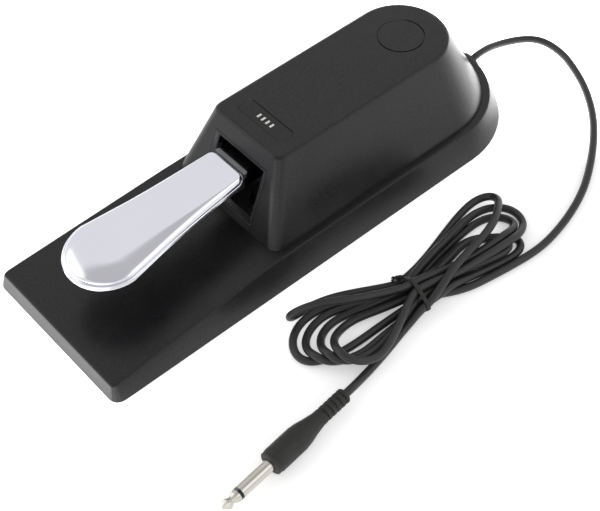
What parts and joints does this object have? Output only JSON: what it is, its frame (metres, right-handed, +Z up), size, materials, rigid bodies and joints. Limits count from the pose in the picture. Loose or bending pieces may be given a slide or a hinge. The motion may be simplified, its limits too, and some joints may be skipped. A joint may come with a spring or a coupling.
{
  "type": "sustain pedal",
  "caption": "Piano-style sustain pedal: flared chrome pedal sprung in a tapered black housing on a long weighted base, with a tied cord and jack plug.",
  "frame": {"origin": "on the floor under the middle of the base, which is also the middle of the rubber mat's underside", "axes": "+Z up, +Y along the base towards its round rear where the cord leaves, +X to the right seen from the pedal's nose"},
  "size_m": [0.181, 0.3368, 0.0623],
  "materials": {
    "black_plastic": "fine moulded grain",
    "dark_plastic": "moulded, satin",
    "badge_black": "smooth",
    "chrome": "polished",
    "grey_metal": "satin grey paint",
    "zinc_steel": "zinc plated",
    "nickel": "nickel plated, turned",
    "nylon": "natural nylon",
    "rubber": "matte",
    "cord_vinyl": "satin vinyl",
    "red_vinyl": "satin"
  },
  "bodies": {
    "base": {"base_shell": "black_plastic", "housing_cover": "black_plastic", "badge_plate": "badge_black", "bottom_plate": "zinc_steel", "rubber_mat": "rubber", "pivot_bracket": "zinc_steel", "pivot_axle": "zinc_steel", "axle_clip_left": "zinc_steel", "axle_clip_right": "zinc_steel", "bracket_screw_front": "zinc_steel", "bracket_screw_rear": "zinc_steel", "stand_screw": "zinc_steel", "clamp_screw": "zinc_steel", "housing_screw_front_right": "zinc_steel", "housing_screw_front_left": "zinc_steel", "housing_screw_rear_right": "zinc_steel", "housing_screw_rear_left": "zinc_steel", "base_screw_front_right": "zinc_steel", "base_screw_front_left": "zinc_steel", "base_screw_rear_right": "zinc_steel", "base_screw_rear_left": "zinc_steel", "return_spring": "zinc_steel", "spring_cup": "dark_plastic", "lower_stop_post": "dark_plastic", "lower_stop_pad": "rubber", "upper_stop_pad": "rubber", "switch_body": "dark_plastic", "switch_stand": "dark_plastic", "switch_screw_front": "zinc_steel", "switch_screw_rear": "zinc_steel", "cord_grommet": "dark_plastic", "inner_cord": "cord_vinyl", "cord_clamp": "dark_plastic", "lead_red": "red_vinyl", "lead_black": "cord_vinyl", "cord_lead": "cord_vinyl", "cord_bundle": "cord_vinyl", "bundle_tie": "rubber", "cord_tail": "cord_vinyl", "plug_body": "rubber", "plug_sleeve": "nickel", "plug_insulator": "badge_black", "plug_tip": "nickel"},
    "pedal": {"pedal_arm": "grey_metal", "pedal_cap": "chrome", "cap_screw_front": "zinc_steel", "cap_screw_rear": "zinc_steel", "pivot_bush_left": "nylon", "pivot_bush_right": "nylon"},
    "blade": {"switch_blade": "zinc_steel"},
    "button": {"switch_button": "red_vinyl"}
  },
  "joints": [
    {"name": "pedal_hinge", "type": "hinge", "parent": "base", "child": "pedal", "pos_m": [0, 0.064, 0.0455], "axis": [1, 0, 0], "range_deg": [0, 5], "stiffness_Nm_per_rad": 12, "springref_deg": -8.59, "deforming": ["return_spring"]},
    {"name": "blade_hinge", "type": "hinge", "parent": "base", "child": "blade", "pos_m": [0, 0.025, 0.0325], "axis": [1, 0, 0], "range_deg": [-6.2, 0]},
    {"name": "button_slide", "type": "slide", "parent": "base", "child": "button", "axis": [0, 0, -1], "range_m": [0, 0.0008]}
  ],
  "couplings": [
    {"joint": "blade_hinge", "follows": "pedal_hinge", "ratio": -1.2},
    {"joint": "button_slide", "follows": "pedal_hinge", "m_per_rad": 0.008}
  ]
}
